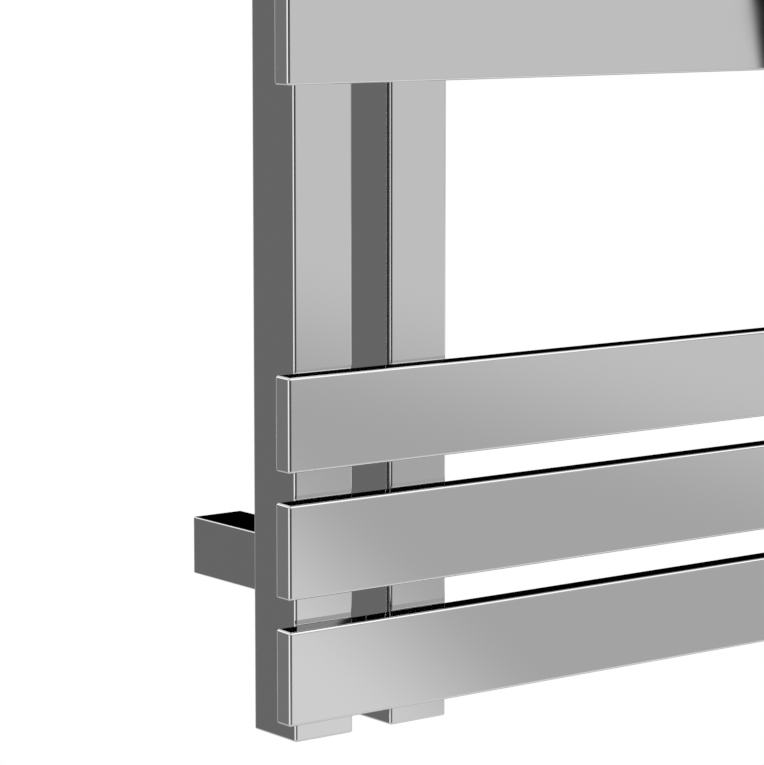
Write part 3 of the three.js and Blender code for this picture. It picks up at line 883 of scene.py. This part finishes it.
for corner in corners:
    node = f"wall_anchor_{corner}"
    low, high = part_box(node)
    piece = box_piece(f"plated_{node}", (low, high), ANCHOR_EDGE, zinc)
    seat, through = PAST + RECESS, high.y - low.y + 2 * PAST
    rows = [(0, 0), (HEAD, 0), (HEAD, seat), (HOLE, seat + HEAD - HOLE), (HOLE, through), (0, through)]
    hole = about_line("screw_hole", middle_of(node, y=low.y - PAST), (0, 1, 0), rows, zinc)
    tip = middle_of(f"grub_screw_{corner}")
    groove_low = (tip.x - GROOVE_HALF, tip.y - SLIDE_TRAVEL - GROOVE_HALF, low.z - PAST)
    groove_high = (tip.x + GROOVE_HALF, tip.y + GROOVE_HALF, low.z + GROOVE_DEEP)
    carve(piece, hole, block("groove", groove_low, groove_high, zinc))
    dress(flat_faces(piece), "wall_anchors", "zinc_steel", node)

# %% [markdown]
# ## The grub screws
# An M5 grub screw under each sleeve holds the rack at its place on the anchor. It has no head: a hexagon
# socket is sunk in its outer end, and its inner end has a cup whose rim bites into the zinc.

# %% Grub screws
M5_PITCH, M5_DEPTH = 0.8 * MM, 0.43 * MM
CUP_DEPTH, CUP_IN, CUP_RIM, CUP_LENGTH = 0.5 * MM, 0.9 * MM, 1.15 * MM, 0.8 * MM
RUN_IN, RUN_OUT = 0.05 * MM, 0.45 * MM  # the plain lengths before and after the thread
END_BREAK, MOUTH_DROP = 0.1 * MM, 0.15 * MM
socket = flats(2.5 * MM, 6)
SOCKET_MOUTH, SOCKET_DEPTH, SOCKET_END = 1.6 * MM, 2.2 * MM, 2.7 * MM

for corner in corners:
    node = f"grub_screw_{corner}"
    low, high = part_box(node)
    radius, length = radius_of(node), high.z - low.z
    core = radius - M5_DEPTH
    rows = [(0, CUP_DEPTH), (CUP_IN, 0), (CUP_RIM, 0), (core, CUP_LENGTH)]
    rows += thread(radius, M5_DEPTH, M5_PITCH, CUP_LENGTH + RUN_IN, length - RUN_OUT)
    rows += [(core, length - END_BREAK), (core - END_BREAK, length), (SOCKET_MOUTH, length)]
    rows += [(socket, length - MOUTH_DROP), (socket, length - SOCKET_DEPTH), (0, length - SOCKET_END)]
    piece = about_line(f"socket_{node}", middle_of(node, z=high.z), (0, 0, -1), rows, plain_steel)
    dress(flat_faces(piece, SHARP_FROM), node, "plain_steel", node)

# %% [markdown]
# ## The bleed valves
# Air gathers at the top of each collector, and a small valve at the back lets it out. A boss is welded on,
# a rubber ring seals the valve against it, and the valve is a hexagon with a square-headed screw in its
# middle. The boss is a turned ring with a short spigot that sits in the collector's hole.

# %% Bosses
SPIGOT_STEP, SPIGOT_LENGTH = 2.5 * MM, 2.5 * MM
BOSS_BREAK, BORE_BREAK = 0.6 * MM, 0.4 * MM
SEAL_REACH = 1.4 * MM  # from the bore to the seal's outer edge


def valve_bore(name):
    """The radius of the hole through a collector's boss."""
    return radius_of(f"{name}_bleed_seal") - SEAL_REACH


for name in collectors:
    boss, back = f"{name}_bleed_boss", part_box(f"{name}_collector")[1].y
    outer, length, bore = radius_of(boss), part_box(boss)[1].y - back, valve_bore(name)
    spigot = outer - SPIGOT_STEP
    rows = [(bore, -SPIGOT_LENGTH), (spigot, -SPIGOT_LENGTH), (spigot, 0), (outer, 0)]
    rows += [(outer, length - BOSS_BREAK), (outer - BOSS_BREAK, length)]
    rows += [(bore + BORE_BREAK, length), (bore, length - BORE_BREAK)]
    place = middle_of(f"{name}_bleed_valve", y=back)
    piece = about_line(f"turned_{boss}", place, (0, 1, 0), rows, chrome, closed=True)
    dress(piece, "rack", "chrome", boss)

# %% [markdown]
# The seal is a ring of round section, pressed oval between the boss and the valve.

# %% Seals
SEAL_HALF_WIDTH = SEAL_REACH / 2
SEAL_SIDES = 16

for name in collectors:
    seal = f"{name}_bleed_seal"
    low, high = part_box(seal)
    thick, middle = (high.y - low.y) / 2, valve_bore(name) + SEAL_HALF_WIDTH
    section = [math.tau * step / SEAL_SIDES for step in range(SEAL_SIDES)]
    rows = [(middle + SEAL_HALF_WIDTH * math.cos(a), thick + thick * math.sin(a)) for a in section]
    place = middle_of(f"{name}_bleed_valve", y=low.y)
    piece = about_line(f"moulded_{seal}", place, (0, 1, 0), rows, rubber, closed=True)
    dress(piece, "rack", "seal_rubber", seal)

# %% [markdown]
# The valve's hexagon is cut back to a cone at both ends, as a nut's is. A small hole in one of its sides is
# where the air and the first drops come out.

# %% Valves
SEAL_GAP = 0.1 * MM
SHANK, VALVE_BORE, BORE_MOUTH = 4.85 * MM, 2.3 * MM, 0.5 * MM
NEAR_CONE, NEAR_LENGTH, FAR_CONE, FAR_LENGTH = 6.3 * MM, 0.5 * MM, 6.1 * MM, 0.9 * MM
VENT, VENT_START, VENT_LENGTH = 0.9 * MM, 4.6 * MM, 3.4 * MM
vent_way = (math.sqrt(0.75), 0, -0.5)
hexagon = flats(13 * MM, 6, math.pi / 6)

for name in collectors:
    valve = f"{name}_bleed_valve"
    low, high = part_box(valve)
    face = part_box(f"{name}_bleed_seal")[1].y + SEAL_GAP
    thick, shank_end = high.y - face, low.y - face
    rows = [(VALVE_BORE, shank_end), (SHANK, shank_end), (SHANK, 0)]
    rows += chamfered(hexagon, NEAR_CONE, NEAR_LENGTH, 0)[::-1]
    rows += chamfered(hexagon, FAR_CONE, thick - FAR_LENGTH, thick)
    rows += [(VALVE_BORE + BORE_MOUTH, thick), (VALVE_BORE, thick - BORE_MOUTH)]
    place = middle_of(valve, y=face)
    piece = about_line(f"hexagon_{valve}", place, (0, 1, 0), rows, nickel, closed=True)
    carve(piece, drill(middle_of(valve, y=face + thick / 2), vent_way, VENT, VENT_LENGTH, VENT_START))
    dress(flat_faces(piece, SHARP_FROM), "rack", "nickel_brass", valve)

# %% [markdown]
# ## The bleed screws
# The screw's square head takes the usual bleed key, and its slot takes a screwdriver. Each turns in its
# valve, so each is a piece of its own.

# %% Bleed screws
HEAD_LENGTH, NECK_CONE, NECK_LENGTH = 5 * MM, 3.0 * MM, 0.3 * MM
TOP_CONE, TOP_LENGTH = 2.6 * MM, 0.6 * MM
STEM, STEM_POINT = 2 * MM, 1.5 * MM
SLOT_DEPTH, SLOT_HALF_WIDTH, SLOT_REACH = 1.2 * MM, 0.45 * MM, 4 * MM
square = flats(5 * MM, 4, math.pi / 4)

for name in collectors:
    node = f"{name}_bleed_screw"
    low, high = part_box(node)
    line, length = (low + high) / 2, high.y - low.y
    neck = length - HEAD_LENGTH
    rows = [(0, 0), (STEM, STEM_POINT), (STEM, neck)]
    rows += chamfered(square, NECK_CONE, neck + NECK_LENGTH, neck)[::-1]
    rows += chamfered(square, TOP_CONE, length - TOP_LENGTH, length) + [(0, length)]
    piece = about_line(f"square_{node}", middle_of(node, y=low.y), (0, 1, 0), rows, nickel)
    slot_low = (line.x - SLOT_REACH, high.y - SLOT_DEPTH, line.z - SLOT_HALF_WIDTH)
    slot_high = (line.x + SLOT_REACH, high.y + PAST, line.z + SLOT_HALF_WIDTH)
    carve(piece, block("slot", slot_low, slot_high, nickel))
    dress(flat_faces(piece, SHARP_FROM), node, "nickel_brass", node)

# %% [markdown]
# ## Welds
# In front every seam is ground away, but behind the bars the welds are left as they were laid and chromed
# over. A weld is a row of overlapping drops. Geometry Nodes lay it as a tube along a line, and its radius
# swells once for each drop.

# %% A weld bead
BEAD = {
    "Bead Radius": ("Float", 1.2 * MM),
    "Drop Length": ("Float", 1.6 * MM),
    "Drop Height": ("Float", 0.2),
    "Material": ("Material", None),
}
BEAD_SIDES = 12
STEPS_IN_A_DROP = 6.0
TAPER, TAPER_POWER = 0.8, 14.0  # how much thinner a bead's ends are, and how suddenly


def bead_along(tree, curve, given, ends):
    """A rippled tube along a curve. ends is 1 where it tapers at its two ends."""
    fine = sum_of(tree, "DIVIDE", given["Drop Length"], STEPS_IN_A_DROP)
    settings = {"Curve": curve, "Length": fine}
    fine_curve = result(tree, "GeometryNodeResampleCurve", settings, mode="LENGTH")
    along = put(tree, "GeometryNodeSplineParameter").outputs
    turn = sum_of(tree, "MULTIPLY", sum_of(tree, "DIVIDE", along["Length"], given["Drop Length"]), math.pi)
    ripple = sum_of(tree, "ABSOLUTE", sum_of(tree, "SINE", turn))
    swell = sum_of(tree, "MULTIPLY_ADD", ripple, given["Drop Height"], 1.0)
    off = sum_of(tree, "ABSOLUTE", sum_of(tree, "MULTIPLY_ADD", along["Factor"], 2.0, -1.0))
    thinner = sum_of(tree, "MULTIPLY", sum_of(tree, "POWER", off, TAPER_POWER), TAPER * ends)
    size = sum_of(tree, "MULTIPLY", swell, sum_of(tree, "SUBTRACT", 1.0, thinner))
    settings = {"Resolution": BEAD_SIDES, "Radius": given["Bead Radius"]}
    ring = result(tree, "GeometryNodeCurvePrimitiveCircle", settings)
    settings = {"Curve": fine_curve, "Profile Curve": ring, "Scale": size, "Fill Caps": True}
    return result(tree, "GeometryNodeCurveToMesh", settings)

# %% [markdown]
# The same bead is set at every bar: a row of points with the bars' own spacing, from which the empty places
# are deleted. Round a sleeve the bead follows a square with rounded corners.

# %% The weld trees
def weld_row_tree():
    """Upright beads at the bars: groups of bars, with empty places between the groups."""
    sizes = {"First": ("Vector", None), "Pitch": ("Float", 0.0)}
    sizes |= {"Places": ("Int", 13), "Group": ("Int", 5), "Bars": ("Int", 3)}
    sizes |= {"Bead Length": ("Float", 34 * MM), **BEAD}
    tree, given = geometry_tree("weld_row", sizes)
    step = result(tree, "ShaderNodeCombineXYZ", {2: given["Pitch"]})
    settings = {"Count": given["Places"], "Start Location": given["First"], "Offset": step}
    points = result(tree, "GeometryNodeMeshLine", settings, mode="OFFSET")
    place = sum_of(tree, "MODULO", result(tree, "GeometryNodeInputIndex"), given["Group"])
    empty = sum_of(tree, "GREATER_THAN", place, sum_of(tree, "SUBTRACT", given["Bars"], 0.5))
    kept = result(tree, "GeometryNodeDeleteGeometry", {"Geometry": points, "Selection": empty})
    half = sum_of(tree, "MULTIPLY", given["Bead Length"], 0.5)
    top = result(tree, "ShaderNodeCombineXYZ", {2: half})
    foot = result(tree, "ShaderNodeCombineXYZ", {2: sum_of(tree, "MULTIPLY", half, -1.0)})
    line = result(tree, "GeometryNodeCurvePrimitiveLine", {"Start": foot, "End": top})
    bead = bead_along(tree, line, given, 1)
    laid = result(tree, "GeometryNodeInstanceOnPoints", {"Points": kept, "Instance": bead})
    return close_tree(tree, laid, given["Material"])


def weld_square_tree():
    """One bead round a square tube that stands out along Y."""
    sizes = {"Centre": ("Vector", None), "Side": ("Float", 0.0), **BEAD}
    tree, given = geometry_tree("weld_square", sizes)
    settings = {"Width": given["Side"], "Height": given["Side"]}
    square = result(tree, "GeometryNodeCurvePrimitiveQuadrilateral", settings)
    settings = {"Curve": square, "Radius": given["Bead Radius"], "Count": 4}
    rounded = result(tree, "GeometryNodeFilletCurve", settings, mode="POLY")
    bead = bead_along(tree, rounded, given, 0)
    settings = {"Geometry": bead, "Translation": given["Centre"], "Rotation": (math.pi / 2, 0, 0)}
    return close_tree(tree, result(tree, "GeometryNodeTransform", settings), given["Material"])


weld_row, weld_square = weld_row_tree(), weld_square_tree()
print("weld trees:", len(weld_row.nodes), "and", len(weld_square.nodes), "nodes")

# %% [markdown]
# Each collector has a row of beads in the corner that it makes with the bars, on its left and on its right.
# A bead sits a little way into its corner, so that it grows out of both metals.

# %% Welds behind the bars
IN_CORNER = 0.35 * MM
bar_pitch = middle_of("bar_2").z - middle_of("bar_1").z

for name in collectors:
    low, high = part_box(f"{name}_collector")
    for side, x in (("left", low.x - IN_CORNER), ("right", high.x + IN_CORNER)):
        first = middle_of("bar_1", x=x, y=low.y + IN_CORNER)
        values = {"First": first, "Pitch": bar_pitch, "Material": weld_chrome}
        dress(grow(f"{name}_weld_row_{side}", weld_row, values), "rack", "chrome")

# %% [markdown]
# A sleeve is welded to its collector all round, and so is a boss. A boss is round, so its bead is made
# about the valve's line, with a radius that swells for each drop.

# %% Welds round sleeves and bosses
WELD_PLAY = 0.2 * MM
BOSS_BEAD, BOSS_DROPS, BOSS_DROP_HEIGHT = 0.9 * MM, 10, 0.14
BOSS_BEAD_SIDES, BOSS_BEAD_STEPS = 10, 180

for corner in corners:
    sleeve = f"sleeve_{corner}"
    centre = middle_of(sleeve, y=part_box(sleeve)[0].y + WELD_PLAY)
    values = {"Centre": centre, "Side": 2 * (radius_of(sleeve) + WELD_PLAY), "Material": weld_chrome}
    dress(grow(f"sleeve_weld_{corner}", weld_square, values), "rack", "chrome")

for name in collectors:
    reach = radius_of(f"{name}_bleed_boss") + WELD_PLAY
    section = [math.tau * step / BOSS_BEAD_SIDES for step in range(BOSS_BEAD_SIDES)]

    def drops(angle, out):
        """The radius at this angle of a row that lies out of the bead's middle by a part of its radius."""
        return reach + BOSS_BEAD * out * (1 + BOSS_DROP_HEIGHT * abs(math.sin(angle * BOSS_DROPS)))

    rows = [(lambda angle, out=math.cos(a): drops(angle, out), BOSS_BEAD * math.sin(a)) for a in section]
    place = middle_of(f"{name}_bleed_valve", y=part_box(f"{name}_collector")[1].y)
    weld = f"{name}_boss_weld"
    piece = about_line(weld, place, (0, 1, 0), rows, weld_chrome, closed=True, sides=BOSS_BEAD_STEPS)
    dress(piece, "rack", "chrome")

# %% [markdown]
# ## The end of the script
# Every piece of the CAD model now has a finished one in its place. The last cell lists any CAD node that
# still shows.

# %% List the CAD nodes still showing
left_over = [name for name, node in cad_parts.items() if not node.hide_render]
print("CAD nodes still showing:", left_over)
